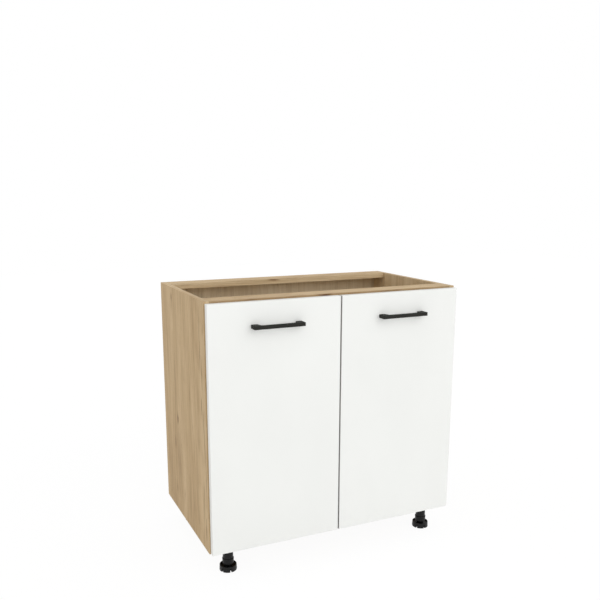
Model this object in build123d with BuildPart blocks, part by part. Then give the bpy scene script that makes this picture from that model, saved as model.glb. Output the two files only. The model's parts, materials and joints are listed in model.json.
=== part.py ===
"""Two-door kitchen base cabinet with an open top, flat rails, bar handles and levelling legs.

Millimetres, +Z up, doors facing -Y. The origin is on the floor under the middle of the whole object.
"""

import os

from build123d import *

os.makedirs("parts", exist_ok=True)

# Carcass boards
cabinet_width = 800
carcass_height = 720
carcass_depth = 450
board = 16
front_rail_depth = 64
rear_rail_depth = 64
back_thickness = 3
rebate_width = 8
back_clearance = 0.5
edge_round = 0.6

# Clearance of screws, dowels and other fixings in their holes
fixing_clearance = 0.1

# Cross recess in the screw heads, its size given as shares of the head's radius
recess_length_share = 1.1
recess_width_share = 0.3
recess_depth = 0.9

# Cam locks, cam bolts and dowels
cam_radius = 7.5
cam_depth = 12.5
cam_inset = 34
cam_slot_length = 9
cam_slot_width = 1.6
cam_slot_depth = 2
bolt_thread_radius = 2.5
bolt_thread_length = 11
bolt_shaft_radius = 3
bolt_end_gap = 2
dowel_radius = 4
dowel_length = 30
dowel_in_side = 11
bottom_bolt_spacing = 200
bottom_dowel_spacing = 110
rail_fixing_offset = 15

# Worktop screw holes in the rails
worktop_hole_radius = 2.5
worktop_hole_spacing = 600

# Countersunk screws of the back panel
back_screw_head_radius = 3
back_screw_radius = 1.5
back_screw_length = 14
back_screws_up = 5
back_screws_across = 3
back_screw_margin = 60

# Shelf, its pins and the rows of pin holes
shelf_height = 336
shelf_setback = 30
shelf_rear_gap = 2
shelf_side_gap = 1
pin_radius = 2.5
pin_length_in_side = 9
pin_hole_depth = 10
pin_tab_length = 9
pin_tab_width = 8
pin_inset = 50
pin_hole_pitch = 32
pin_hole_count = 5

# Doors
door_thickness = 18
door_gap = 2
door_side_reveal = 3.5
door_centre_gap = 4
door_top_reveal = 5
door_bottom_reveal = 3
door_edge_round = 1

# Door bumpers
bumper_radius = 4
bumper_inset = 30
bumper_from_door_end = 5

# Handles and their screws
handle_length = 150
handle_hole_spacing = 128
handle_projection = 28
handle_height = 10.5
handle_bar = 9
handle_post_base = 18.5
handle_post_top = 23.5
handle_inner_round = 3
handle_corner_round = 2
handle_edge_round = 1
handle_below_door_top = 67
handle_screw_radius = 2
handle_screw_engagement = 9
handle_screw_head_radius = 4
handle_screw_head_height = 2.2
handle_door_hole_radius = 2.5

# Hinges: the pin lies inside the cup, close to the outer edge of the door
hinge_inset = 100
pivot_edge = 6
pivot_depth = 11
cup_bore_radius = 17.5
cup_depth = 14
cup_tab = 3
cup_wall = 0.7
cup_flange_thickness = 1
cup_flange_lip = 0.8
cup_ear_length = 62
cup_ear_width = 14
cup_ear_offset = 6
cup_screw_spacing = 48
cup_screw_radius = 1.75
cup_screw_length = 13
hinge_pin_radius = 1
hinge_pin_length = 14.4
hinge_pin_clearance = 0.05
lug_thickness = 3.4
lug_reach = 2.2
link_thickness = 1.6
link_width = 5
link_reach = 16.5
eye_radius = 1.8
channel_start = 1
channel_end = 62
channel_width = 12
channel_flange = 1.5
plate_thickness = 3
plate_setback = 37
plate_screw_spacing = 32
plate_wing_length = 48
plate_wing_width = 14
plate_seat_start = 30
plate_seat_width = 16
plate_rib_clearance = 0.5
plate_screw_head_radius = 3.5
plate_screw_head_height = 2
plate_screw_radius = 1.75
plate_screw_length = 12
arm_screw_setback = 52
arm_screw_radius = 2
arm_screw_length = 6
arm_screw_head_radius = 3.4
arm_screw_head_height = 1.6

# Legs and feet
leg_height = 76.5
leg_from_side = 66
front_leg_setback = 34
rear_leg_setback = 60
flange_radius = 28
flange_thickness = 3.5
spigot_radius = 11
spigot_length = 12
leg_screw_circle = 21
leg_screw_count = 4
leg_screw_head_radius = 3.5
leg_screw_radius = 1.9
leg_screw_length = 14
leg_screw_angle = 45
tube_radius = 15.2
tube_ring_radius = 17
tube_ring_height = 6
tube_foot_height = 30.5
tube_boss_height = 14
foot_radius = 25.5
foot_wall = 3
foot_taper = 0.7
foot_wall_height = 16.5
foot_floor = 12.5
foot_neck_radius = 11
foot_hub_radius = 16.7
foot_hub_height = 9
foot_rod_radius = 6
foot_rod_length = 29
foot_rod_clearance = 0.1
foot_edge_round = 0.8
foot_notch_count = 6
foot_notch_width = 4.5
foot_notch_height = 10.5
foot_notch_depth = 12
foot_notch_angle = -90

# Places that follow from the sizes above
half_width = cabinet_width / 2
inner_half = half_width - board
panel_span = 2 * inner_half
carcass_bottom = leg_height
carcass_top = carcass_bottom + carcass_height
overall_depth = handle_projection + door_thickness + door_gap + carcass_depth
carcass_rear = overall_depth / 2
carcass_front = carcass_rear - carcass_depth
carcass_middle = (carcass_front + carcass_rear) / 2
back_front = carcass_rear - back_thickness
back_y = carcass_rear - back_thickness / 2
bottom_depth = carcass_depth - back_thickness
front_rail_y = carcass_front + front_rail_depth / 2
rear_rail_y = back_front - rear_rail_depth / 2
bottom_z = carcass_bottom + board / 2
rail_z = carcass_top - board / 2
door_back = carcass_front - door_gap
door_front = door_back - door_thickness
door_edge = half_width - door_side_reveal
door_width = door_edge - door_centre_gap / 2
door_x = door_edge - door_width / 2
door_bottom = carcass_bottom + door_bottom_reveal
door_top = carcass_top - door_top_reveal
door_height = door_top - door_bottom
handle_z = door_top - handle_below_door_top
handle_screw_hole = handle_screw_engagement + fixing_clearance
pivot_x = door_edge - pivot_edge
pivot_y = door_back - pivot_depth
cup_x = door_edge - cup_tab - cup_bore_radius
cup_screw_head_radius = cup_screw_radius + cup_flange_thickness
cup_screw_in_door = cup_screw_length - cup_flange_thickness + fixing_clearance
link_x = pivot_x - link_reach
web_outer = link_x + link_thickness / 2
web_inner = link_x - link_thickness / 2
plate_top = inner_half - plate_thickness
plate_screw_in_side = plate_screw_length - plate_thickness + fixing_clearance
plate_screw_y = carcass_front + plate_setback
arm_screw_y = carcass_front + arm_screw_setback
flange_bottom = carcass_bottom - flange_thickness
leg_screw_in_board = leg_screw_length - flange_thickness + fixing_clearance
back_screw_in_board = back_screw_length - back_thickness + fixing_clearance

sides = {"left": -1, "right": 1}
hinge_heights = {"lower": door_bottom + hinge_inset, "upper": door_top - hinge_inset}
leg_x = half_width - leg_from_side
front_leg_y = carcass_front + front_leg_setback
rear_leg_y = carcass_rear - rear_leg_setback
leg_places = {
    "front_left": (-leg_x, front_leg_y),
    "front_right": (leg_x, front_leg_y),
    "rear_left": (-leg_x, rear_leg_y),
    "rear_right": (leg_x, rear_leg_y),
}

# Fixing points where the panels meet the sides, as (y, z)
bottom_bolts = [(carcass_middle + k * bottom_bolt_spacing / 2, bottom_z) for k in (-1, 1)]
bottom_dowels = [(carcass_middle + k * bottom_dowel_spacing / 2, bottom_z) for k in (-1, 1)]
front_rail_bolts = [(front_rail_y + rail_fixing_offset, rail_z)]
front_rail_dowels = [(front_rail_y - rail_fixing_offset, rail_z)]
rear_rail_bolts = [(rear_rail_y + rail_fixing_offset, rail_z)]
rear_rail_dowels = [(rear_rail_y - rail_fixing_offset, rail_z)]
all_bolts = bottom_bolts + front_rail_bolts + rear_rail_bolts
all_dowels = bottom_dowels + front_rail_dowels + rear_rail_dowels
cam_x = inner_half - cam_inset
dowel_in_panel = dowel_length - dowel_in_side
bolt_shaft_length = cam_inset - bolt_end_gap
bolt_hole_radius = bolt_shaft_radius + fixing_clearance
bolt_hole_length = bolt_shaft_length + fixing_clearance

# Shelf places
shelf_bottom = carcass_bottom + board + shelf_height
shelf_front = carcass_front + shelf_setback
shelf_rear = back_front - shelf_rear_gap
shelf_depth = shelf_rear - shelf_front
shelf_y = (shelf_front + shelf_rear) / 2
shelf_pin_z = shelf_bottom - pin_radius
shelf_pins_at = [(shelf_front + pin_inset, shelf_pin_z), (shelf_rear - pin_inset, shelf_pin_z)]
pin_rows = [k - (pin_hole_count - 1) / 2 for k in range(pin_hole_count)]
pin_holes_at = [(y, z + k * pin_hole_pitch) for y, z in shelf_pins_at for k in pin_rows]

# Back screw points, as (x, z)
screw_rise = (carcass_height - 2 * back_screw_margin) / (back_screws_up - 1)
screw_step = (panel_span - 2 * back_screw_margin) / (back_screws_across - 1)
side_screw_x = inner_half + (rebate_width - back_clearance) / 2
side_screw_heights = [carcass_bottom + back_screw_margin + k * screw_rise for k in range(back_screws_up)]
across_places = [back_screw_margin - inner_half + k * screw_step for k in range(back_screws_across)]
side_back_screws = [(s * side_screw_x, z) for s in (-1, 1) for z in side_screw_heights]
bottom_back_screws = [(x, bottom_z) for x in across_places]
rail_back_screws = [(x, rail_z) for x in across_places]
all_back_screws = side_back_screws + bottom_back_screws + rail_back_screws

to_front = (Align.CENTER, Align.CENTER, Align.MIN)
to_back = (Align.CENTER, Align.CENTER, Align.MAX)


def save(piece, name):
    """Label a finished piece and write it to its own file."""
    piece.part.label = name
    export_step(piece.part, f"parts/{name}.step")


def joint_plane(side, normal):
    """Plane where panel ends meet a side panel, facing along X by the sign of normal."""
    return Plane((side * inner_half, 0, 0), x_dir=(0, normal, 0), z_dir=(normal, 0, 0))


def joint_points(normal, points):
    """Turn (y, z) places into places on a joint plane."""
    return [(normal * y, z) for y, z in points]


def rear_plane(y):
    """Plane facing the rear at the given depth, with local x to the left and local y up."""
    return Plane((0, y, 0), x_dir=(-1, 0, 0), z_dir=(0, 1, 0))


def rear_points(points):
    """Turn (x, z) places into places on a rear plane."""
    return [(-x, z) for x, z in points]


def underside(x, y, z):
    """Plane facing the floor at one place."""
    return Plane((x, y, z), x_dir=(1, 0, 0), z_dir=(0, 0, -1))


def cross_recess(head_radius):
    """Cross cut into the top of a screw head at the current place."""
    recess_length = recess_length_share * head_radius
    recess_width = recess_width_share * head_radius
    Box(recess_length, recess_width, recess_depth, align=to_back, mode=Mode.SUBTRACT)
    Box(recess_width, recess_length, recess_depth, align=to_back, mode=Mode.SUBTRACT)


def countersunk_screw(head_radius, shank_radius, length):
    """Screw with a flat head, sunk from the current place."""
    head = head_radius - shank_radius
    Cone(shank_radius, head_radius, head, align=to_back)
    Cylinder(shank_radius, length, align=to_back)
    cross_recess(head_radius)


def pan_screw(head_radius, head_height, shank_radius, length):
    """Screw with a raised head, driven in from the current place."""
    Cylinder(head_radius, head_height, align=to_front)
    Cylinder(shank_radius, length, align=to_back)
    with Locations((0, 0, head_height)):
        cross_recess(head_radius)


def countersunk_hole(head_radius, shank_radius, depth):
    """Hole for such a screw through a piece of the given depth."""
    free = fixing_clearance
    CounterSinkHole(shank_radius + free, head_radius + free, depth, counter_sink_angle=90)


def drill_panel_ends(bolts, dowels):
    """Bolt and dowel holes in both ends of a panel that stands between the sides."""
    for side in sides.values():
        with Locations(joint_plane(side, side)):
            with Locations(*joint_points(side, bolts)):
                Hole(bolt_hole_radius, depth=cam_inset)
            with Locations(*joint_points(side, dowels)):
                Hole(dowel_radius + fixing_clearance, depth=dowel_in_panel + fixing_clearance)


def sink_cam_pockets(bolts, panel_bottom):
    """Round pockets for the cam locks in the underside of a panel."""
    for side in sides.values():
        for y, _ in bolts:
            with Locations(underside(side * cam_x, y, panel_bottom)):
                Hole(cam_radius + fixing_clearance, depth=cam_depth + fixing_clearance)


def drill_rear_edge(points):
    """Pilot holes for the back panel screws in a rear edge."""
    with Locations(rear_plane(back_front)):
        with Locations(*rear_points(points)):
            Hole(back_screw_radius + fixing_clearance, depth=back_screw_in_board)


def hinge_plane(side, height):
    """Plane on the inner face of a side panel at a hinge plate, with local y up."""
    return Plane((side * inner_half, plate_screw_y, height), x_dir=(0, -side, 0), z_dir=(-side, 0, 0))


def cup_plane(side, height):
    """Plane on the back of a door at a hinge cup, with local x to the right."""
    return Plane((side * cup_x, door_back, height), x_dir=(1, 0, 0), z_dir=(0, 1, 0))


def arm_screw_plane(side, x, height):
    """Plane facing into the cabinet at a hinge arm's screw."""
    return Plane((side * x, arm_screw_y, height), x_dir=(0, 1, 0), z_dir=(-side, 0, 0))


# Side panels
for side_name, side in sides.items():
    with BuildPart() as side_panel:
        with BuildSketch(Plane.XY.offset(carcass_bottom)):
            with Locations((side * (half_width - board / 2), carcass_middle)):
                Rectangle(board, carcass_depth)
            with Locations((side * (inner_half + rebate_width / 2), back_y)):
                Rectangle(rebate_width, back_thickness, mode=Mode.SUBTRACT)
        extrude(amount=carcass_height)
        outer_face = side_panel.faces().sort_by(lambda f: side * f.center().X)[-1]
        fillet(outer_face.edges(), edge_round)
        with Locations(joint_plane(side, -side)):
            with Locations(*joint_points(-side, all_bolts)):
                Hole(bolt_thread_radius + fixing_clearance, depth=bolt_thread_length + fixing_clearance)
            with Locations(*joint_points(-side, all_dowels)):
                Hole(dowel_radius + fixing_clearance, depth=dowel_in_side + fixing_clearance)
            with Locations(*joint_points(-side, pin_holes_at)):
                Hole(pin_radius + fixing_clearance, depth=pin_hole_depth)
        for height in hinge_heights.values():
            with Locations(hinge_plane(side, height)):
                with GridLocations(0, plate_screw_spacing, 1, 2):
                    Hole(plate_screw_radius + fixing_clearance, depth=plate_screw_in_side)
        drill_rear_edge([(x, z) for x, z in side_back_screws if x * side > 0])
    save(side_panel, f"{side_name}_side_panel")

# Bottom panel
with BuildPart() as bottom_panel:
    with BuildSketch(Plane.XY.offset(carcass_bottom)):
        with Locations((0, carcass_front + bottom_depth / 2)):
            Rectangle(panel_span, bottom_depth)
    extrude(amount=board)
    drill_panel_ends(bottom_bolts, bottom_dowels)
    sink_cam_pockets(bottom_bolts, carcass_bottom)
    drill_rear_edge(bottom_back_screws)
    for leg_place in leg_places.values():
        with Locations(underside(*leg_place, carcass_bottom)):
            with PolarLocations(leg_screw_circle, leg_screw_count, start_angle=leg_screw_angle):
                Hole(leg_screw_radius + fixing_clearance, depth=leg_screw_in_board)
save(bottom_panel, "bottom_panel")

# Front top rail
with BuildPart() as front_top_rail:
    with BuildSketch(Plane.XY.offset(carcass_top - board)):
        with Locations((0, front_rail_y)):
            Rectangle(panel_span, front_rail_depth)
            with GridLocations(worktop_hole_spacing, 0, 2, 1):
                Circle(worktop_hole_radius, mode=Mode.SUBTRACT)
    extrude(amount=board)
    drill_panel_ends(front_rail_bolts, front_rail_dowels)
    sink_cam_pockets(front_rail_bolts, carcass_top - board)
save(front_top_rail, "front_top_rail")

# Rear top rail
with BuildPart() as rear_top_rail:
    with BuildSketch(Plane.XY.offset(carcass_top - board)):
        with Locations((0, rear_rail_y)):
            Rectangle(panel_span, rear_rail_depth)
            with GridLocations(worktop_hole_spacing, 0, 2, 1):
                Circle(worktop_hole_radius, mode=Mode.SUBTRACT)
    extrude(amount=board)
    drill_panel_ends(rear_rail_bolts, rear_rail_dowels)
    sink_cam_pockets(rear_rail_bolts, carcass_top - board)
    drill_rear_edge(rail_back_screws)
save(rear_top_rail, "rear_top_rail")

# Back panel in the rebates of the sides
with BuildPart() as back_panel:
    with BuildSketch(Plane.XY.offset(carcass_bottom)):
        with Locations((0, back_y)):
            Rectangle(panel_span + 2 * (rebate_width - back_clearance), back_thickness)
    extrude(amount=carcass_height)
    with Locations(rear_plane(carcass_rear)):
        with Locations(*rear_points(all_back_screws)):
            countersunk_hole(back_screw_head_radius, back_screw_radius, back_thickness)
save(back_panel, "back_panel")

# Back panel screws
with BuildPart() as back_panel_screws:
    with Locations(rear_plane(carcass_rear)):
        with Locations(*rear_points(all_back_screws)):
            countersunk_screw(back_screw_head_radius, back_screw_radius, back_screw_length)
save(back_panel_screws, "back_panel_screws")

# Cam bolts, screwed into the sides
with BuildPart() as cam_bolts:
    for side in sides.values():
        with Locations(joint_plane(side, -side)):
            with Locations(*joint_points(-side, all_bolts)):
                Cylinder(bolt_thread_radius, bolt_thread_length, align=to_back)
                Cylinder(bolt_shaft_radius, bolt_shaft_length, align=to_front)
save(cam_bolts, "cam_bolts")

# Cam locks, turned onto the ends of the bolts
with BuildPart() as cam_locks:
    for side in sides.values():
        for y, z in all_bolts:
            with Locations(underside(side * cam_x, y, z - board / 2)):
                Cylinder(cam_radius, cam_depth, align=to_back)
                Box(cam_slot_length, cam_slot_width, cam_slot_depth, align=to_back, mode=Mode.SUBTRACT)
        with Locations(joint_plane(side, -side)):
            with Locations(*joint_points(-side, all_bolts)):
                Cylinder(bolt_hole_radius, bolt_hole_length, align=to_front, mode=Mode.SUBTRACT)
save(cam_locks, "cam_locks")

# Dowels
with BuildPart() as wood_dowels:
    for side in sides.values():
        with Locations(joint_plane(side, -side)):
            with Locations(*joint_points(-side, all_dowels)):
                Cylinder(dowel_radius, dowel_in_side, align=to_back)
                Cylinder(dowel_radius, dowel_in_panel, align=to_front)
save(wood_dowels, "wood_dowels")

# Shelf
with BuildPart() as shelf:
    with BuildSketch(Plane.XY.offset(shelf_bottom)):
        with Locations((0, shelf_y)):
            Rectangle(panel_span - 2 * shelf_side_gap, shelf_depth)
    extrude(amount=board)
    fillet(shelf.faces().sort_by(Axis.Y)[0].edges().filter_by(Axis.X), edge_round)
save(shelf, "shelf")

# Shelf pins: a round peg in the side and a flat tab under the shelf
with BuildPart() as shelf_pins:
    for side in sides.values():
        with Locations(joint_plane(side, -side)):
            with Locations(*joint_points(-side, shelf_pins_at)):
                Cylinder(pin_radius, pin_length_in_side, align=to_back)
                Box(pin_tab_width, 2 * pin_radius, pin_tab_length, align=to_front)
save(shelf_pins, "shelf_pins")

# Leg sockets, tubes and feet
for leg_name, (leg_place_x, leg_place_y) in leg_places.items():
    profile_plane = Plane((leg_place_x, leg_place_y, 0), x_dir=(1, 0, 0), z_dir=(0, -1, 0))
    leg_axis = Axis((leg_place_x, leg_place_y, 0), (0, 0, 1))

    with BuildPart(underside(leg_place_x, leg_place_y, carcass_bottom)) as leg_socket:
        Cylinder(flange_radius, flange_thickness, align=to_front)
        Cylinder(spigot_radius, flange_thickness + spigot_length, align=to_front)
        with Locations((0, 0, flange_thickness)):
            with PolarLocations(leg_screw_circle, leg_screw_count, start_angle=leg_screw_angle):
                countersunk_hole(leg_screw_head_radius, leg_screw_radius, flange_thickness)
    save(leg_socket, f"{leg_name}_leg_socket")

    ring_top = tube_foot_height + tube_ring_height
    boss_top = tube_foot_height + tube_boss_height
    tube_bore = spigot_radius + fixing_clearance
    thread_bore = foot_rod_radius + foot_rod_clearance
    with BuildPart() as leg_tube:
        with BuildSketch(profile_plane):
            with BuildLine():
                Polyline(
                    (thread_bore, tube_foot_height),
                    (tube_ring_radius, tube_foot_height),
                    (tube_ring_radius, ring_top),
                    (tube_radius, ring_top),
                    (tube_radius, flange_bottom),
                    (tube_bore, flange_bottom),
                    (tube_bore, boss_top),
                    (thread_bore, boss_top),
                    close=True,
                )
            make_face()
        revolve(axis=leg_axis)
        circles = leg_tube.edges().filter_by(GeomType.CIRCLE)
        ring_limit = (tube_radius + tube_ring_radius) / 2
        fillet(circles.filter_by(lambda e: e.radius > ring_limit), foot_edge_round)
    save(leg_tube, f"{leg_name}_leg_tube")

    hub_bottom = tube_foot_height - foot_hub_height
    with BuildPart() as foot:
        with BuildSketch(profile_plane):
            with BuildLine():
                Polyline(
                    (0, 0),
                    (foot_radius, 0),
                    (foot_radius - foot_taper, foot_wall_height),
                    (foot_radius - foot_wall, foot_wall_height),
                    (foot_radius - foot_wall, foot_floor),
                    (foot_neck_radius, foot_floor),
                    (foot_neck_radius, hub_bottom),
                    (foot_hub_radius, hub_bottom),
                    (foot_hub_radius, tube_foot_height),
                    (foot_rod_radius, tube_foot_height),
                    (foot_rod_radius, tube_foot_height + foot_rod_length),
                    (0, tube_foot_height + foot_rod_length),
                    close=True,
                )
            make_face()
        revolve(axis=leg_axis)
        circles = foot.edges().filter_by(GeomType.CIRCLE)
        fillet(circles.filter_by(lambda e: e.radius > foot_radius - foot_wall / 2), foot_edge_round)
        with Locations((leg_place_x, leg_place_y)):
            with PolarLocations(foot_radius, foot_notch_count, start_angle=foot_notch_angle):
                cut_length = 2 * foot_notch_depth
                Box(cut_length, foot_notch_width, foot_notch_height, align=to_front, mode=Mode.SUBTRACT)
    save(foot, f"{leg_name}_foot")

# Screws of the leg sockets
with BuildPart() as leg_screws:
    for leg_place in leg_places.values():
        with Locations(underside(*leg_place, flange_bottom)):
            with PolarLocations(leg_screw_circle, leg_screw_count, start_angle=leg_screw_angle):
                countersunk_screw(leg_screw_head_radius, leg_screw_radius, leg_screw_length)
save(leg_screws, "leg_screws")

# Doors with their handles, bumpers and hinges
for side_name, side in sides.items():
    door_plane = Plane((side * door_x, door_back, 0), x_dir=(1, 0, 0), z_dir=(0, 1, 0))

    with BuildPart() as door_panel:
        with BuildSketch(Plane.XY.offset(door_bottom)):
            with Locations((side * door_x, door_back - door_thickness / 2)):
                Rectangle(door_width, door_thickness)
        extrude(amount=door_height)
        fillet(door_panel.faces().sort_by(Axis.Y)[0].edges(), door_edge_round)
        for height in hinge_heights.values():
            with Locations(cup_plane(side, height)):
                Hole(cup_bore_radius, depth=cup_depth)
                with Locations((-side * cup_ear_offset, 0)):
                    with GridLocations(0, cup_screw_spacing, 1, 2):
                        Hole(cup_screw_radius + fixing_clearance, depth=cup_screw_in_door)
        with Locations(door_plane):
            with Locations((0, -handle_z)):
                with GridLocations(handle_hole_spacing, 0, 2, 1):
                    Hole(handle_door_hole_radius, depth=door_thickness)
    save(door_panel, f"{side_name}_door_panel")

    half_length = handle_length / 2
    bar_back = door_front - handle_projection + handle_bar
    with BuildPart() as handle:
        with BuildSketch(Plane.XY.offset(handle_z)) as bridge:
            with BuildLine(Plane((side * door_x, 0, handle_z))):
                Polyline(
                    (-half_length, door_front),
                    (-half_length, door_front - handle_projection),
                    (half_length, door_front - handle_projection),
                    (half_length, door_front),
                    (half_length - handle_post_base, door_front),
                    (half_length - handle_post_top, bar_back),
                    (handle_post_top - half_length, bar_back),
                    (handle_post_base - half_length, door_front),
                    close=True,
                )
            make_face()
            fillet(bridge.vertices().group_by(Axis.Y)[1], handle_inner_round)
            fillet(bridge.vertices().group_by(Axis.Y)[0], handle_corner_round)
        extrude(amount=handle_height / 2, both=True)
        rim = handle.faces().filter_by(Axis.Z).edges()
        fillet(rim.filter_by(lambda e: e.center().Y < door_front - handle_edge_round), handle_edge_round)
        with Locations(door_plane.offset(-door_thickness)):
            with Locations((0, -handle_z)):
                with GridLocations(handle_hole_spacing, 0, 2, 1):
                    Hole(handle_screw_radius + fixing_clearance, depth=handle_screw_hole)
    save(handle, f"{side_name}_handle")

    with BuildPart() as handle_screws:
        with Locations(door_plane):
            with Locations((0, -handle_z)):
                with GridLocations(handle_hole_spacing, 0, 2, 1):
                    pan_screw(
                        handle_screw_head_radius,
                        handle_screw_head_height,
                        handle_screw_radius,
                        door_thickness + handle_screw_engagement,
                    )
    save(handle_screws, f"{side_name}_handle_screws")

    bumper_x = side * (door_centre_gap / 2 + bumper_inset - door_x)
    with BuildPart() as door_bumpers:
        with Locations(door_plane):
            with Locations((bumper_x, -bottom_z), (bumper_x, bumper_from_door_end - door_top)):
                Cylinder(bumper_radius, door_gap, align=to_front)
    save(door_bumpers, f"{side_name}_door_bumpers")

    with BuildPart() as cup_screws:
        for height in hinge_heights.values():
            with Locations(cup_plane(side, height).offset(cup_flange_thickness)):
                with Locations((-side * cup_ear_offset, 0)):
                    with GridLocations(0, cup_screw_spacing, 1, 2):
                        countersunk_screw(cup_screw_head_radius, cup_screw_radius, cup_screw_length)
    save(cup_screws, f"{side_name}_cup_screws")

    for level, height in hinge_heights.items():
        hinge_name = f"{side_name}_{level}_hinge"
        pin_plane = Plane((side * pivot_x, pivot_y, height))
        pivot_in_cup = side * (pivot_x - cup_x)
        cup_radius = cup_bore_radius - fixing_clearance
        cup_floor = cup_plane(side, height).offset(cup_wall - cup_depth)
        lug_rise = cup_depth - cup_wall - pivot_depth + lug_reach
        lug_place = (hinge_pin_length - lug_thickness) / 2

        with BuildPart() as hinge_cup:
            with BuildSketch(cup_plane(side, height)):
                Circle(cup_bore_radius + cup_flange_lip)
                with Locations((-side * cup_ear_offset, 0)):
                    SlotOverall(cup_ear_length, cup_ear_width, rotation=90)
            extrude(amount=cup_flange_thickness)
            with BuildSketch(cup_plane(side, height)):
                Circle(cup_radius)
            extrude(amount=-cup_depth)
            with BuildSketch(cup_floor):
                Circle(cup_radius - cup_wall)
            extrude(amount=cup_depth + cup_flange_thickness, mode=Mode.SUBTRACT)
            with BuildSketch(cup_floor):
                with Locations((pivot_in_cup, lug_place), (pivot_in_cup, -lug_place)):
                    Rectangle(2 * lug_reach, lug_thickness)
                Circle(cup_radius, mode=Mode.INTERSECT)
            extrude(amount=lug_rise)
            with Locations(pin_plane):
                Cylinder(hinge_pin_radius, hinge_pin_length, mode=Mode.SUBTRACT)
            with Locations(cup_plane(side, height).offset(cup_flange_thickness)):
                with Locations((-side * cup_ear_offset, 0)):
                    with GridLocations(0, cup_screw_spacing, 1, 2):
                        countersunk_hole(cup_screw_head_radius, cup_screw_radius, cup_flange_thickness)
        save(hinge_cup, f"{hinge_name}_cup")

        with BuildPart(pin_plane) as hinge_pin:
            Cylinder(hinge_pin_radius, hinge_pin_length)
        save(hinge_pin, f"{hinge_name}_pin")

        channel_front = carcass_front + channel_start
        channel_length = channel_end - channel_start
        channel_y = channel_front + channel_length / 2
        flange_height = plate_top - web_outer
        flange_z = (channel_width - channel_flange) / 2
        with BuildPart() as hinge_arm:
            with BuildSketch(Plane.XY.offset(height)):
                with Locations((side * pivot_x, pivot_y)):
                    Circle(eye_radius)
                with Locations((side * (pivot_x + web_inner) / 2, pivot_y)):
                    Rectangle(pivot_x - web_inner, link_thickness)
                with Locations((side * link_x, (pivot_y + channel_y) / 2)):
                    Rectangle(link_thickness, channel_y - pivot_y)
                with Locations((side * pivot_x, pivot_y)):
                    Circle(hinge_pin_radius + hinge_pin_clearance, mode=Mode.SUBTRACT)
            extrude(amount=link_width / 2, both=True)
            with Locations((side * link_x, channel_y, height)):
                Box(link_thickness, channel_length, channel_width)
            seat_length = channel_end - plate_seat_start
            seat_y = carcass_front + plate_seat_start + seat_length / 2
            with Locations((side * (web_outer + plate_top) / 2, seat_y, height)):
                with Locations((0, 0, flange_z), (0, 0, -flange_z)):
                    Box(flange_height, seat_length, channel_flange)
            with Locations(arm_screw_plane(side, web_inner, height)):
                Hole(arm_screw_radius + fixing_clearance, depth=link_thickness)
        save(hinge_arm, f"{hinge_name}_arm")

        rib_width = channel_width - 2 * channel_flange - 2 * plate_rib_clearance
        seat_place = -side * (plate_seat_start + seat_length / 2 - plate_setback)
        with BuildPart() as hinge_plate:
            with BuildSketch(hinge_plane(side, height)):
                SlotOverall(plate_wing_length, plate_wing_width, rotation=90)
                with Locations((seat_place, 0)):
                    Rectangle(seat_length, plate_seat_width)
            extrude(amount=plate_thickness)
            with BuildSketch(hinge_plane(side, height).offset(plate_thickness)):
                with Locations((seat_place, 0)):
                    Rectangle(seat_length, rib_width)
            extrude(amount=flange_height)
            with Locations(hinge_plane(side, height).offset(plate_thickness)):
                with GridLocations(0, plate_screw_spacing, 1, 2):
                    Hole(plate_screw_radius + fixing_clearance, depth=plate_thickness)
            with Locations(arm_screw_plane(side, web_outer, height)):
                Hole(arm_screw_radius + fixing_clearance, depth=arm_screw_length)
        save(hinge_plate, f"{hinge_name}_plate")

# Screws that hold the hinge plates to the sides
with BuildPart() as hinge_plate_screws:
    for side in sides.values():
        for height in hinge_heights.values():
            with Locations(hinge_plane(side, height).offset(plate_thickness)):
                with GridLocations(0, plate_screw_spacing, 1, 2):
                    pan_screw(
                        plate_screw_head_radius,
                        plate_screw_head_height,
                        plate_screw_radius,
                        plate_screw_length,
                    )
save(hinge_plate_screws, "hinge_plate_screws")

# Screws that hold the hinge arms to their plates
with BuildPart() as hinge_arm_screws:
    for side in sides.values():
        for height in hinge_heights.values():
            with Locations(arm_screw_plane(side, web_inner, height)):
                pan_screw(
                    arm_screw_head_radius,
                    arm_screw_head_height,
                    arm_screw_radius,
                    arm_screw_length,
                )
save(hinge_arm_screws, "hinge_arm_screws")
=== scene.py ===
"""Looks, light and camera of the kitchen base cabinet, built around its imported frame."""

import json
import math

import bpy
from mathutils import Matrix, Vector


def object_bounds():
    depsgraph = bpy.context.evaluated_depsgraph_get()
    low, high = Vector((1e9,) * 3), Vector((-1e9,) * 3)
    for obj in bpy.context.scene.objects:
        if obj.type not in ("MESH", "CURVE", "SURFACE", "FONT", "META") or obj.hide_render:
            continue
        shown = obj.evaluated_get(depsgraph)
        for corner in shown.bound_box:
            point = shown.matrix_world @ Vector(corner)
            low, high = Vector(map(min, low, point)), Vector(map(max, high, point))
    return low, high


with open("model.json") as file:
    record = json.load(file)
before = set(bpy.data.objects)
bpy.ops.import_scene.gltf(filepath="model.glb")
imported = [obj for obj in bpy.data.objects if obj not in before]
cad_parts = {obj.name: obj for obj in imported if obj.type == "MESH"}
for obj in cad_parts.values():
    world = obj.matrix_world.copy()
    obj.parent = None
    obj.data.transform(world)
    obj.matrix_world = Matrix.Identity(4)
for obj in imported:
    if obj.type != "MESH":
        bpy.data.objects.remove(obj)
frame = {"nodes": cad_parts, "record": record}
cad_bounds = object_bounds()
cabinet_top = cad_bounds[1][2]


# The sRGB curve from display levels to light: a short straight start, then a power.
DISPLAY_LEVELS = 255
SRGB_STRAIGHT_END = 0.04045
SRGB_STRAIGHT_SLOPE = 12.92
SRGB_OFFSET = 0.055
SRGB_POWER = 2.4


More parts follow.
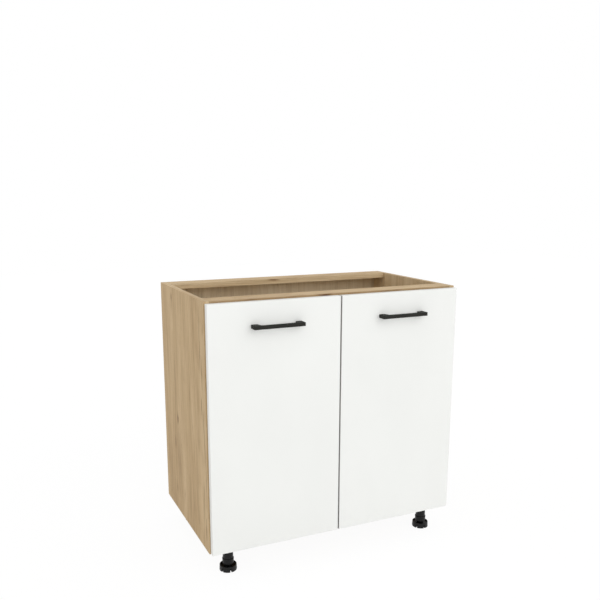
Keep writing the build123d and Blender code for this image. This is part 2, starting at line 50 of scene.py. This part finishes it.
def linear_light(level):
    """A display level from 0 to 255 as a share of linear light."""
    share = level / DISPLAY_LEVELS
    if share <= SRGB_STRAIGHT_END:
        return share / SRGB_STRAIGHT_SLOPE
    return ((share + SRGB_OFFSET) / (1 + SRGB_OFFSET)) ** SRGB_POWER


def colour(red, green, blue):
    """An opaque colour, given in display levels from 0 to 255."""
    return (linear_light(red), linear_light(green), linear_light(blue), 1.0)


def grey(share):
    """An opaque grey, given as a share of linear light."""
    return (share, share, share, 1.0)


# Most of a noise lies between the low and the high value.
NOISE_LOW = 0.3
NOISE_MIDDLE = 0.5
NOISE_HIGH = 0.7


class Graph:
    """The node tree of a material or a world, with short ways to add nodes to it."""

    def __init__(self, owner):
        owner.use_nodes = True
        self.owner = owner
        self.tree = owner.node_tree
        self.tree.nodes.clear()
        coordinates = self.add("ShaderNodeTexCoord").outputs
        self.place = coordinates["Object"]
        self.normal = coordinates["Normal"]
        self.direction = coordinates["Generated"]

    def add(self, kind, inputs=None, **settings):
        """Add a node. Each input is a socket to link or a value to set."""
        node = self.tree.nodes.new(kind)
        for name, value in settings.items():
            setattr(node, name, value)
        for key, value in (inputs or {}).items():
            if isinstance(value, bpy.types.NodeSocket):
                self.tree.links.new(value, node.inputs[key])
            else:
                node.inputs[key].default_value = value
        return node

    def calc(self, operation, *values):
        return self.add("ShaderNodeMath", dict(enumerate(values)), operation=operation).outputs[0]

    def vector(self, operation, *values):
        inputs = dict(enumerate(values))
        return self.add("ShaderNodeVectorMath", inputs, operation=operation).outputs

    def split(self, vector):
        return self.add("ShaderNodeSeparateXYZ", {0: vector}).outputs

    def join(self, x, y, z):
        return self.add("ShaderNodeCombineXYZ", {0: x, 1: y, 2: z}).outputs[0]

    def move(self, vector, offset):
        return self.vector("ADD", vector, offset)[0]

    def length(self, x, y):
        return self.vector("LENGTH", self.join(x, y, 0.0))["Value"]

    def noise(self, vector, scale, detail=3.0, roughness=0.5):
        """Noise with as many waves to a metre as scale says, for all axes or for each."""
        scales = scale if isinstance(scale, tuple) else (scale, scale, scale)
        inputs = {
            "Vector": self.vector("MULTIPLY", vector, scales)[0],
            "Scale": 1.0,
            "Detail": detail,
            "Roughness": roughness,
        }
        return self.add("ShaderNodeTexNoise", inputs).outputs["Fac"]

    def wander(self, noise, width, offset):
        """A noise centred on 0 and brought to a width, added to an offset."""
        return self.calc("MULTIPLY_ADD", self.calc("SUBTRACT", noise, NOISE_MIDDLE), width, offset)

    def spread(self, value, low, high, to_low=0.0, to_high=1.0, kind="LINEAR"):
        """Bring the range from low to high to another range, and hold it at the ends."""
        inputs = {"Value": value, "From Min": low, "From Max": high, "To Min": to_low, "To Max": to_high}
        return self.add("ShaderNodeMapRange", inputs, interpolation_type=kind).outputs["Result"]

    def soft_step(self, value, low, high):
        return self.spread(value, low, high, kind="SMOOTHSTEP")

    def vary(self, noise, low, high):
        """A number that goes from low to high with a noise."""
        return self.spread(noise, NOISE_LOW, NOISE_HIGH, low, high)

    def tone(self, noise, low, high):
        """A colour that goes from low to high with a noise."""
        return self.ramp(noise, (NOISE_LOW, low), (NOISE_HIGH, high))

    def ramp(self, value, *stops):
        """Colour ramp. Each stop is (position, colour)."""
        node = self.add("ShaderNodeValToRGB", {"Fac": value})
        elements = node.color_ramp.elements
        while len(elements) < len(stops):
            # The place is set below. Here it only has to lie between the first and the last.
            elements.new(0.5)
        for element, (position, shade) in zip(elements, stops):
            element.position = position
            element.color = shade
        return node.outputs["Color"]

    def mix(self, factor, a, b, blend="MIX"):
        """Mix two colours, which are inputs 6 and 7 and output 2 of a Mix node."""
        inputs = {0: factor, 6: a, 7: b}
        return self.add("ShaderNodeMix", inputs, data_type="RGBA", blend_type=blend).outputs[2]

    def choose(self, factor, a, b):
        """Mix two vectors, which are inputs 4 and 5 and output 1 of a Mix node."""
        return self.add("ShaderNodeMix", {0: factor, 4: a, 5: b}, data_type="VECTOR").outputs[1]

    def bump(self, height, depth):
        """Bump from a height of 0 to 1, with its depth in metres."""
        inputs = {"Height": height, "Strength": 1.0, "Distance": depth}
        return self.add("ShaderNodeBump", inputs).outputs[0]

    def seen_directly(self):
        """1 for rays from the camera, mirrors and glass, 0 for the rest."""
        paths = self.add("ShaderNodeLightPath").outputs
        seen = self.calc("MAXIMUM", paths["Is Camera Ray"], paths["Is Glossy Ray"])
        return self.calc("MAXIMUM", seen, paths["Is Transmission Ray"])

    def principled(self, base, roughness, constants, normal=None):
        """Finish with a Principled shader. Constants are set on its own sockets."""
        inputs = {"Base Color": base, "Roughness": roughness, **constants}
        if normal is not None:
            inputs["Normal"] = normal
        return self.finish(self.add("ShaderNodeBsdfPrincipled", inputs).outputs[0])

    def finish(self, shader, output="ShaderNodeOutputMaterial"):
        """Link the shader to the output, and give back the material or world."""
        self.add(output, {"Surface": shader})
        return self.owner


def new_graph(name):
    return Graph(bpy.data.materials.new(name))


OAK_PALE = colour(216, 190, 150)
OAK_MID = colour(200, 172, 131)
OAK_DARK = colour(172, 141, 101)
OAK_KNOT = colour(118, 84, 54)
OAK_PORE = colour(140, 108, 74)
OAK_STOPS = ((0.385, OAK_DARK), (0.57, OAK_MID), (0.755, OAK_PALE))
OAK_ROUGHNESS = (0.58, 0.68)
OAK_SPECULAR = 0.2
OAK_BUMP_DEPTH = 0.00004

# Noises of the oak figure: waves to a metre across, through and along the grain, detail, roughness.
DRIFT = ((5, 5, 1.6), 2.0, 0.5)
RIPPLE = ((16, 16, 6), 2.0, 0.5)
BAND = ((19, 19, 1.6), 2.0, 0.6)
STREAK = ((80, 80, 3.6), 3.0, 0.6)
FLECK = ((150, 150, 10), 2.0, 0.6)
FRAY = ((400, 400, 40), 3.0, 0.65)
FIBRE = ((520, 520, 15), 3.0, 0.65)
PORE = ((1700, 1700, 40), 1.0, 0.5)

# The grain wanders sideways by these widths, in metres.
DRIFT_WIDTH = 0.035
RIPPLE_WIDTH = 0.008

# Growth rings lie round a heart below the face. It sinks with each metre along the grain.
RINGS_PER_METRE = 150.0
RING_HEART_DEPTH = 0.02
RING_HEART_SLOPE = 0.05
RING_WAVER = 1.6
RING_DARKENS = (0.25, 0.9)
RING_ENDS = (1.0, 0.9)

# Shares of each part of the figure in the shade, the stain and the height of the surface.
BAND_SHADE = 0.48
STREAK_SHADE = 0.42
FIBRE_SHADE = 0.32
RING_SHADE = -0.06
PORE_RANGE = (0.44, 0.32)
PORE_BETWEEN_RINGS = 0.3
PORE_STAIN = 0.35
FLECK_RANGE = (0.57, 0.72)
FLECK_STAIN = 0.32
DARKEST_STAIN = 0.9
PALEST_STAIN = 1.0
FIBRE_HEIGHT = 0.4
PORE_HEIGHT = -1.0

# Round a mark, in sizes of that mark: how far the grain bends, how far the stain goes and how much
# its rim frays, and the share of its width by which the grain is pushed aside.
MARK_BEND_REACH = 3.5
MARK_STAIN_REACH = 1.4
MARK_FRAY = 2.6
MARK_PUSH = -0.5


def oak_marks(g, across, along, place, marks):
    """Sideways push, darkness and paleness of the knots, cracks and pale zones of a board.

    Each mark is (across, along, width, height, stain), with a stain below 0 for a pale zone.
    """
    push = 0.0
    dark = 0.0
    pale = 0.0
    fray = g.wander(g.noise(place, *FRAY), MARK_FRAY, 0.0)
    for mark_across, mark_along, width, height, stain in marks:
        off_across = g.calc("DIVIDE", g.calc("SUBTRACT", across, mark_across), width)
        off_along = g.calc("DIVIDE", g.calc("SUBTRACT", along, mark_along), height)
        reach = g.length(off_across, off_along)
        bend = g.calc("MULTIPLY", off_across, g.soft_step(reach, MARK_BEND_REACH, 0.0))
        push = g.calc("MULTIPLY_ADD", bend, MARK_PUSH * width, push)
        stained = g.soft_step(g.calc("ADD", reach, fray), MARK_STAIN_REACH, 0.0)
        if stain > 0:
            dark = g.calc("MULTIPLY_ADD", stained, stain, dark)
        else:
            pale = g.calc("MULTIPLY_ADD", stained, -stain, pale)
    return push, dark, pale


def oak_rings(g, across, through, along, band, fibre):
    """Lines of the growth rings, 1 where a ring ends. Across is counted from the heart."""
    sink = g.calc("MULTIPLY_ADD", along, RING_HEART_SLOPE, RING_HEART_DEPTH)
    reach = g.length(across, g.calc("ADD", through, sink))
    waver = g.calc("MULTIPLY_ADD", band, RING_WAVER, fibre)
    ring = g.calc("FRACT", g.calc("MULTIPLY_ADD", reach, RINGS_PER_METRE, waver))
    return g.calc("MULTIPLY", g.soft_step(ring, *RING_DARKENS), g.spread(ring, *RING_ENDS))


def oak_pattern(g, grain, shift, marks, heart):
    """Colour, height and streaks of an oak decor.

    Grain holds metres across, through and along the grain. Shift picks the stretch of decor, and
    heart is the place across the grain that the growth rings lie round.
    """
    across, through, along = g.split(grain)
    place = g.move(grain, shift)
    push, dark, pale = oak_marks(g, across, along, place, marks)
    sideways = g.wander(g.noise(place, *RIPPLE), RIPPLE_WIDTH, push)
    sideways = g.wander(g.noise(place, *DRIFT), DRIFT_WIDTH, sideways)
    flow = g.move(place, g.join(sideways, 0.0, 0.0))
    band = g.noise(flow, *BAND)
    streak = g.noise(flow, *STREAK)
    fibre = g.noise(flow, *FIBRE)
    from_heart = g.calc("SUBTRACT", g.calc("ADD", across, sideways), heart)
    rings = oak_rings(g, from_heart, through, along, band, fibre)
    flecks = g.soft_step(g.noise(flow, *FLECK), *FLECK_RANGE)
    pores = g.soft_step(g.noise(flow, *PORE), *PORE_RANGE)
    pores = g.calc("MULTIPLY", pores, g.spread(rings, 0.0, 1.0, PORE_BETWEEN_RINGS, 1.0))
    shade = g.calc("MULTIPLY", band, BAND_SHADE)
    shade = g.calc("MULTIPLY_ADD", streak, STREAK_SHADE, shade)
    shade = g.calc("MULTIPLY_ADD", fibre, FIBRE_SHADE, shade)
    shade = g.calc("MULTIPLY_ADD", rings, RING_SHADE, shade)
    base = g.ramp(shade, *OAK_STOPS)
    base = g.mix(g.calc("MULTIPLY", pores, PORE_STAIN), base, OAK_PORE)
    base = g.mix(g.calc("MULTIPLY", flecks, FLECK_STAIN), base, OAK_PORE)
    base = g.mix(g.calc("MINIMUM", pale, PALEST_STAIN), base, OAK_PALE)
    base = g.mix(g.calc("MINIMUM", dark, DARKEST_STAIN), base, OAK_KNOT)
    height = g.calc("MULTIPLY_ADD", fibre, FIBRE_HEIGHT, g.calc("MULTIPLY", pores, PORE_HEIGHT))
    return base, height, streak


# Factors on the oak colour: painted shade on the front edges behind the doors, painted light on the faces
# inside and the rear rail's front, and painted light on the inner face of the back.
FRONT_EDGE_PAINTED_SHADE = (0.69, 0.66, 0.63, 1.0)
SIDE_EDGE_PAINTED_SHADE = (0.92, 0.90, 0.88, 1.0)
INSIDE_PAINTED_LIGHT = (1.08, 1.15, 1.26, 1.0)
BACK_PAINTED_LIGHT = (1.18, 1.37, 1.72, 1.0)
# Share of the middle tone that calms the decor inside.
INSIDE_CALM = 0.35
# Nearer to the middle than this, in metres, a side panel has its inner face.
PANEL_INNER_REACH = 0.391
# Share of up or down in a normal from which a face counts as level.
LEVEL_FACE = 0.7
# Share of Y in a normal over which a face comes to count as a front edge.
FRONT_FACE = (-0.5, -0.9)


def oak_material(name, grain_axis, heart, shift, marks=(), edge_axis=None, front_painted_shading=FRONT_EDGE_PAINTED_SHADE):
    """Oak decor with its grain along one axis, and a factor on faces that look forward: painted shade on
    most boards, painted light on the rear rail.

    A side panel has an edge axis, which the grain follows on faces that look up or down, and painted light
    over a calmer decor on its inner face. A rail has its grain along X, and its top and front are unrolled
    into one.
    lining on its inner face. A rail has its grain along X, and its top and front are unrolled into one.
    """
    g = new_graph(name)
    x, y, z = g.split(g.place)
    facing_y, facing_z = g.split(g.normal)[1:3]
    unrolled = g.calc("ADD", y, g.calc("SUBTRACT", z, cabinet_top))
    orders = {
        "x": g.join(y, z, x),
        "y": g.join(x, z, y),
        "z": g.join(y, x, z),
        "rail": g.join(unrolled, z, x),
    }
    grain = orders[grain_axis]
    if edge_axis is not None:
        level = g.calc("GREATER_THAN", g.calc("ABSOLUTE", facing_z), LEVEL_FACE)
        grain = g.choose(level, grain, orders[edge_axis])
    base, height, streak = oak_pattern(g, grain, shift, marks, heart)
    # Painted shade on faces that look forward, which lie in the gaps behind the doors; a factor above 1
    # paints light on them instead.
    base = g.mix(g.spread(facing_y, *FRONT_FACE), base, front_painted_shading, "MULTIPLY")
    if edge_axis is not None:
        inner_face = g.calc("LESS_THAN", g.calc("ABSOLUTE", x), PANEL_INNER_REACH)
        base = g.mix(g.calc("MULTIPLY", inner_face, INSIDE_CALM), base, OAK_MID)
        # Painted light: the inner face is made paler and bluer, as if more light reached inside.
        base = g.mix(inner_face, base, INSIDE_PAINTED_LIGHT, "MULTIPLY")
    normal = g.bump(height, OAK_BUMP_DEPTH)
    return g.principled(base, g.vary(streak, *OAK_ROUGHNESS), {"Specular IOR Level": OAK_SPECULAR}, normal)


BOARD_STOPS = ((0.30, colour(134, 101, 70)), (0.52, colour(157, 123, 89)), (0.75, colour(176, 143, 108)))
BOARD_BLOTCH = colour(137, 104, 72)
BOARD_BLOTCH_STAIN = 0.45
# Share of Y in a normal from which a face counts as the rear.
REAR_FACE = 0.5


def back_material(name, heart, shift, marks):
    """Thin fibreboard: oak decor with painted light on the inside, bare brown board on the rear."""
    g = new_graph(name)
    x, y, z = g.split(g.place)
    inner_face = oak_pattern(g, g.join(x, y, z), shift, marks, heart)[0]
    inner_face = g.mix(INSIDE_CALM, inner_face, OAK_MID)
    # Painted light: the inner face of the back is made paler and bluer, as if more light reached inside.
    inner_face = g.mix(1.0, inner_face, BACK_PAINTED_LIGHT, "MULTIPLY")
    fibre = g.noise(g.place, scale=640, detail=4.0, roughness=0.7)
    blotch = g.noise(g.place, scale=9)
    board = g.ramp(fibre, *BOARD_STOPS)
    board = g.mix(g.vary(blotch, 0.0, BOARD_BLOTCH_STAIN), board, BOARD_BLOTCH)
    rear = g.calc("GREATER_THAN", g.split(g.normal)[1], REAR_FACE)
    base = g.mix(rear, inner_face, board)
    roughness = g.vary(fibre, low=0.58, high=0.70)
    normal = g.bump(g.calc("MULTIPLY", fibre, rear), depth=0.00008)
    return g.principled(base, roughness, {"Specular IOR Level": 0.3}, normal)


# The doors' meeting edges, and no other part of the doors, lie this near to the middle, in metres.
MEETING_EDGE_REACH = 0.0026


def white_material(name):
    """White satin laminate with a faint orange peel, and a pale grey band of painted shade on the meeting
    edges, in the gap between the doors.
    """
    g = new_graph(name)
    x = g.split(g.place)[0]
    peel = g.noise(g.place, scale=700, detail=2.0)
    cloud = g.noise(g.place, scale=(5, 5, 3))
    face = g.tone(cloud, colour(243, 244, 241), colour(246, 247, 244))
    band = g.tone(cloud, colour(203, 203, 200), colour(207, 207, 204))
    meeting_edge = g.calc("LESS_THAN", g.calc("ABSOLUTE", x), MEETING_EDGE_REACH)
    # Painted shade: the meeting edges are grey, which darkens the gap between the doors.
    base = g.mix(meeting_edge, face, band)
    roughness = g.vary(peel, low=0.36, high=0.44)
    return g.principled(base, roughness, {"Specular IOR Level": 0.4}, g.bump(peel, depth=0.000012))


BLACK_TEXTURE_SHARE = 0.6
BLACK_CLOUD_SHARE = 0.4
BLACK_RANGE = (0.35, 0.65)
BLACK_ROUGHNESS_REACH = 0.07


def black_material(name, low, high, scale, depth, roughness, specular):
    """Black coat or moulded plastic with a fine texture."""
    g = new_graph(name)
    texture = g.noise(g.place, scale, roughness=0.6)
    cloud = g.noise(g.place, scale=25, detail=2.0)
    clouds = g.calc("MULTIPLY", cloud, BLACK_CLOUD_SHARE)
    shade = g.calc("MULTIPLY_ADD", texture, BLACK_TEXTURE_SHARE, clouds)
    base = g.ramp(shade, (BLACK_RANGE[0], low), (BLACK_RANGE[1], high))
    varied = g.vary(texture, roughness - BLACK_ROUGHNESS_REACH, roughness + BLACK_ROUGHNESS_REACH)
    return g.principled(base, varied, {"Specular IOR Level": specular}, g.bump(texture, depth))


def steel_material(name, low, high, scale, roughness):
    """Plated steel with fine drawn marks and a cloudy plate. Roughness is its range."""
    g = new_graph(name)
    marks = g.noise(g.place, scale, roughness=0.6)
    cloud = g.noise(g.place, scale=120)
    base = g.tone(cloud, low, high)
    normal = g.bump(marks, depth=0.000006)
    return g.principled(base, g.vary(marks, *roughness), {"Metallic": 1.0}, normal)


def beech_material(name):
    """Pale beech with short flecks along X."""
    g = new_graph(name)
    fleck = g.noise(g.place, scale=(160, 1400, 1400), detail=2.0)
    figure = g.noise(g.place, scale=(20, 300, 300))
    base = g.tone(figure, colour(212, 174, 128), colour(231, 199, 158))
    flecks = g.spread(fleck, low=0.36, high=0.26, to_high=0.5)
    base = g.mix(flecks, base, colour(170, 122, 80))
    return g.principled(base, g.vary(figure, low=0.55, high=0.68), {}, g.bump(fleck, depth=0.00003))


def bumper_material(name):
    """Clear soft plastic."""
    g = new_graph(name)
    haze = g.noise(g.place, scale=400, detail=2.0)
    base = g.tone(haze, colour(222, 226, 226), colour(240, 243, 243))
    return g.principled(base, g.vary(haze, low=0.2, high=0.34), {"Transmission Weight": 0.6, "IOR": 1.48})


# Marks of the boards, as oak_marks takes them. Lengths are in metres in the cabinet's frame: on the
# side and the back up from the floor, and on the rails along X, with across as unrolled.
SIDE_MARKS = (
    (0.124, 0.766, 0.006, 0.013, 0.80),
    (0.128, 0.682, 0.012, 0.040, -0.70),
    (0.111, 0.520, 0.006, 0.080, 0.32),
    (0.094, 0.388, 0.009, 0.018, 0.85),
    (0.128, 0.304, 0.006, 0.022, 0.65),
    (0.088, 0.270, 0.030, 0.100, 0.24),
    (0.124, 0.148, 0.005, 0.014, 0.40),
    (0.039, 0.164, 0.006, 0.018, 0.40),
    (-0.072, 0.450, 0.018, 0.080, -0.60),
    (-0.112, 0.430, 0.014, 0.300, -0.45),
    (-0.166, 0.450, 0.024, 0.320, -0.60),
    (-0.156, 0.700, 0.0024, 0.070, 0.50),
    (-0.158, 0.640, 0.0030, 0.050, 0.65),
    (-0.172, 0.592, 0.0030, 0.045, 0.80),
    (-0.162, 0.500, 0.0030, 0.032, 0.80),
    (-0.175, 0.465, 0.0028, 0.040, 0.70),
    (-0.183, 0.395, 0.0028, 0.065, 0.75),
    (-0.190, 0.290, 0.0024, 0.045, 0.60),
    (-0.167, 0.245, 0.0028, 0.045, 0.65),
    (-0.160, 0.190, 0.0028, 0.045, 0.65),
    (-0.180, 0.140, 0.0030, 0.040, 0.75),
    (-0.157, 0.110, 0.0024, 0.030, 0.55),
)
FRONT_RAIL_MARKS = (
    (-0.2035, -0.042, 0.0045, 0.028, 1.00),
    (-0.2035, -0.267, 0.0040, 0.022, 0.40),
    (-0.2035, 0.170, 0.0040, 0.055, 0.40),
)
REAR_RAIL_MARKS = (
    (0.179, -0.038, 0.0035, 0.020, 1.00),
    (0.215, 0.210, 0.0040, 0.060, 0.25),
)
BACK_MARKS = (
    (0.125, 0.74, 0.02, 0.09, -0.5),
    (-0.16, 0.70, 0.010, 0.12, 0.2),
    (0.22, 0.66, 0.008, 0.10, 0.25),
)

# Oak boards by node, and the other materials by the record's material slot.
node_materials = {
    "left_side_panel": oak_material(
        "oak_left_side", "z", heart=-0.185, shift=(0.0, 0.0, 0.0), marks=SIDE_MARKS, edge_axis="y",
        front_painted_shading=SIDE_EDGE_PAINTED_SHADE,
    ),
    "right_side_panel": oak_material(
        "oak_right_side", "z", heart=-0.06, shift=(3.1, 1.7, 0.9), edge_axis="y", front_painted_shading=SIDE_EDGE_PAINTED_SHADE,
    ),
    "bottom_panel": oak_material("oak_bottom", "x", heart=0.08, shift=(1.3, 2.2, 5.0)),
    "shelf": oak_material("oak_shelf", "x", heart=-0.05, shift=(2.6, 4.1, 3.0)),
    "front_top_rail": oak_material(
        "oak_front_rail", "rail", heart=-0.17, shift=(4.4, 1.1, 2.0), marks=FRONT_RAIL_MARKS,
    ),
    # The rear rail's front gets painted light, as if its shaded front were lit.
    "rear_top_rail": oak_material(
        "oak_rear_rail", "rail", heart=0.30, shift=(0.0, 0.0, 0.0), marks=REAR_RAIL_MARKS,
        front_painted_shading=INSIDE_PAINTED_LIGHT,
    ),
    "back_panel": back_material("oak_back", heart=-0.12, shift=(7.3, 2.9, 5.1), marks=BACK_MARKS),
}
slot_materials = {
    "white_front": white_material("white_laminate"),
    "black_metal": black_material(
        "black_powder_coat", colour(42, 42, 39), colour(51, 51, 48),
        scale=2400, depth=0.00002, roughness=0.66, specular=0.08,
    ),
    "black_plastic": black_material(
        "black_plastic", colour(9, 9, 9), colour(14, 14, 14),
        scale=1500, depth=0.00003, roughness=0.42, specular=0.26,
    ),
    "nickel_steel": steel_material(
        "nickel_plate", colour(212, 209, 203), colour(230, 228, 223),
        scale=(120, 2200, 120), roughness=(0.28, 0.46),
    ),
    "zinc_steel": steel_material(
        "zinc_plate", colour(188, 194, 202), colour(220, 220, 212),
        scale=900, roughness=(0.24, 0.42),
    ),
    "beech": beech_material("beech"),
    "clear_bumper": bumper_material("clear_bumper"),
}

slot_of = {part["node"]: part["material_slot"] for part in frame["record"]["subparts"]}
for name, node in frame["nodes"].items():
    material = node_materials.get(name) or slot_materials[slot_of[name]]
    node.data.materials.clear()
    node.data.materials.append(material)

scene = bpy.context.scene
WHITE = grey(1.0)

FLOOR_REACH = 8.0
FLOOR_CORNERS = ((-1, -1), (1, -1), (1, 1), (-1, 1))
# Share of the light on the floor that shows where it is seen directly, and the level of that light
# away from the object.
FLOOR_SHADOW_SHARE = 0.07
FLOOR_LIGHT = 0.8


def floor_material(name):
    """Pale floor. Seen directly it is white, and keeps a faint shadow."""
    g = new_graph(name)
    dust = g.noise(g.place, scale=3)
    shade = g.tone(dust, colour(236, 236, 236), colour(240, 240, 240))
    lit = g.add("ShaderNodeBsdfDiffuse", {"Color": shade}).outputs[0]
    shaded = g.add("ShaderNodeBsdfDiffuse", {"Color": grey(FLOOR_SHADOW_SHARE)}).outputs[0]
    glow_strength = 1.0 - FLOOR_LIGHT * FLOOR_SHADOW_SHARE
    glow = g.add("ShaderNodeEmission", {"Color": WHITE, "Strength": glow_strength}).outputs[0]
    white = g.add("ShaderNodeAddShader", {0: shaded, 1: glow}).outputs[0]
    return g.finish(g.add("ShaderNodeMixShader", {0: g.seen_directly(), 1: lit, 2: white}).outputs[0])


floor_mesh = bpy.data.meshes.new("floor")
floor_corners = [(x * FLOOR_REACH, y * FLOOR_REACH, 0.0) for x, y in FLOOR_CORNERS]
floor_mesh.from_pydata(floor_corners, [], [(0, 1, 2, 3)])
floor_mesh.materials.append(floor_material("pale_floor"))
floor = bpy.data.objects.new("floor", floor_mesh)
scene.collection.objects.link(floor)

# Light of the surroundings on the object. Seen directly they are white.
HORIZON_LEVEL = 0.90
ZENITH_LEVEL = 0.68


def studio_world(name):
    """Even light from all round, a little weaker from above."""
    g = Graph(bpy.data.worlds.new(name))
    height = g.split(g.direction)[2]
    level = g.spread(height, 0.0, 1.0, HORIZON_LEVEL, ZENITH_LEVEL)
    strength = g.spread(g.seen_directly(), 0.0, 1.0, level, 1.0)
    sky = g.add("ShaderNodeBackground", {"Color": WHITE, "Strength": strength}).outputs[0]
    return g.finish(sky, "ShaderNodeOutputWorld")


scene.world = studio_world("studio")

SUN_LEVEL = 0.85
SUN_SPREAD = math.radians(70)
SUN_TILT = math.radians(70)
SUN_TURN = math.radians(20)
sun_data = bpy.data.lights.new("softbox", "SUN")
sun_data.energy = SUN_LEVEL
sun_data.angle = SUN_SPREAD
sun = bpy.data.objects.new("softbox", sun_data)
sun.rotation_euler = (SUN_TILT, 0.0, SUN_TURN)
scene.collection.objects.link(sun)

# The photograph's viewing angle, solved from its perspective but with a smaller lens shift, so that
# the other views keep the whole object. Pixels are those of the square image.
IMAGE_PIXELS = 600
FOCAL_PIXELS = 706.1
PRINCIPAL_POINT = (292.0, 340.0)
SENSOR_WIDTH = 36.0
CAMERA_PLACE = (-0.9391, -1.9603, 1.0786)
CAMERA_DEGREES_DOWN = 11.87
CAMERA_DEGREES_RIGHT = 24.30
camera_data = bpy.data.cameras.new("camera")
camera_data.sensor_width = SENSOR_WIDTH
camera_data.lens = FOCAL_PIXELS * SENSOR_WIDTH / IMAGE_PIXELS
camera_data.shift_x = 0.5 - PRINCIPAL_POINT[0] / IMAGE_PIXELS
camera_data.shift_y = PRINCIPAL_POINT[1] / IMAGE_PIXELS - 0.5
camera = bpy.data.objects.new("camera", camera_data)
camera.location = CAMERA_PLACE
camera.rotation_euler = (math.radians(90 - CAMERA_DEGREES_DOWN), 0.0, math.radians(-CAMERA_DEGREES_RIGHT))
scene.collection.objects.link(camera)
scene.camera = camera

scene.view_settings.view_transform = "Standard"
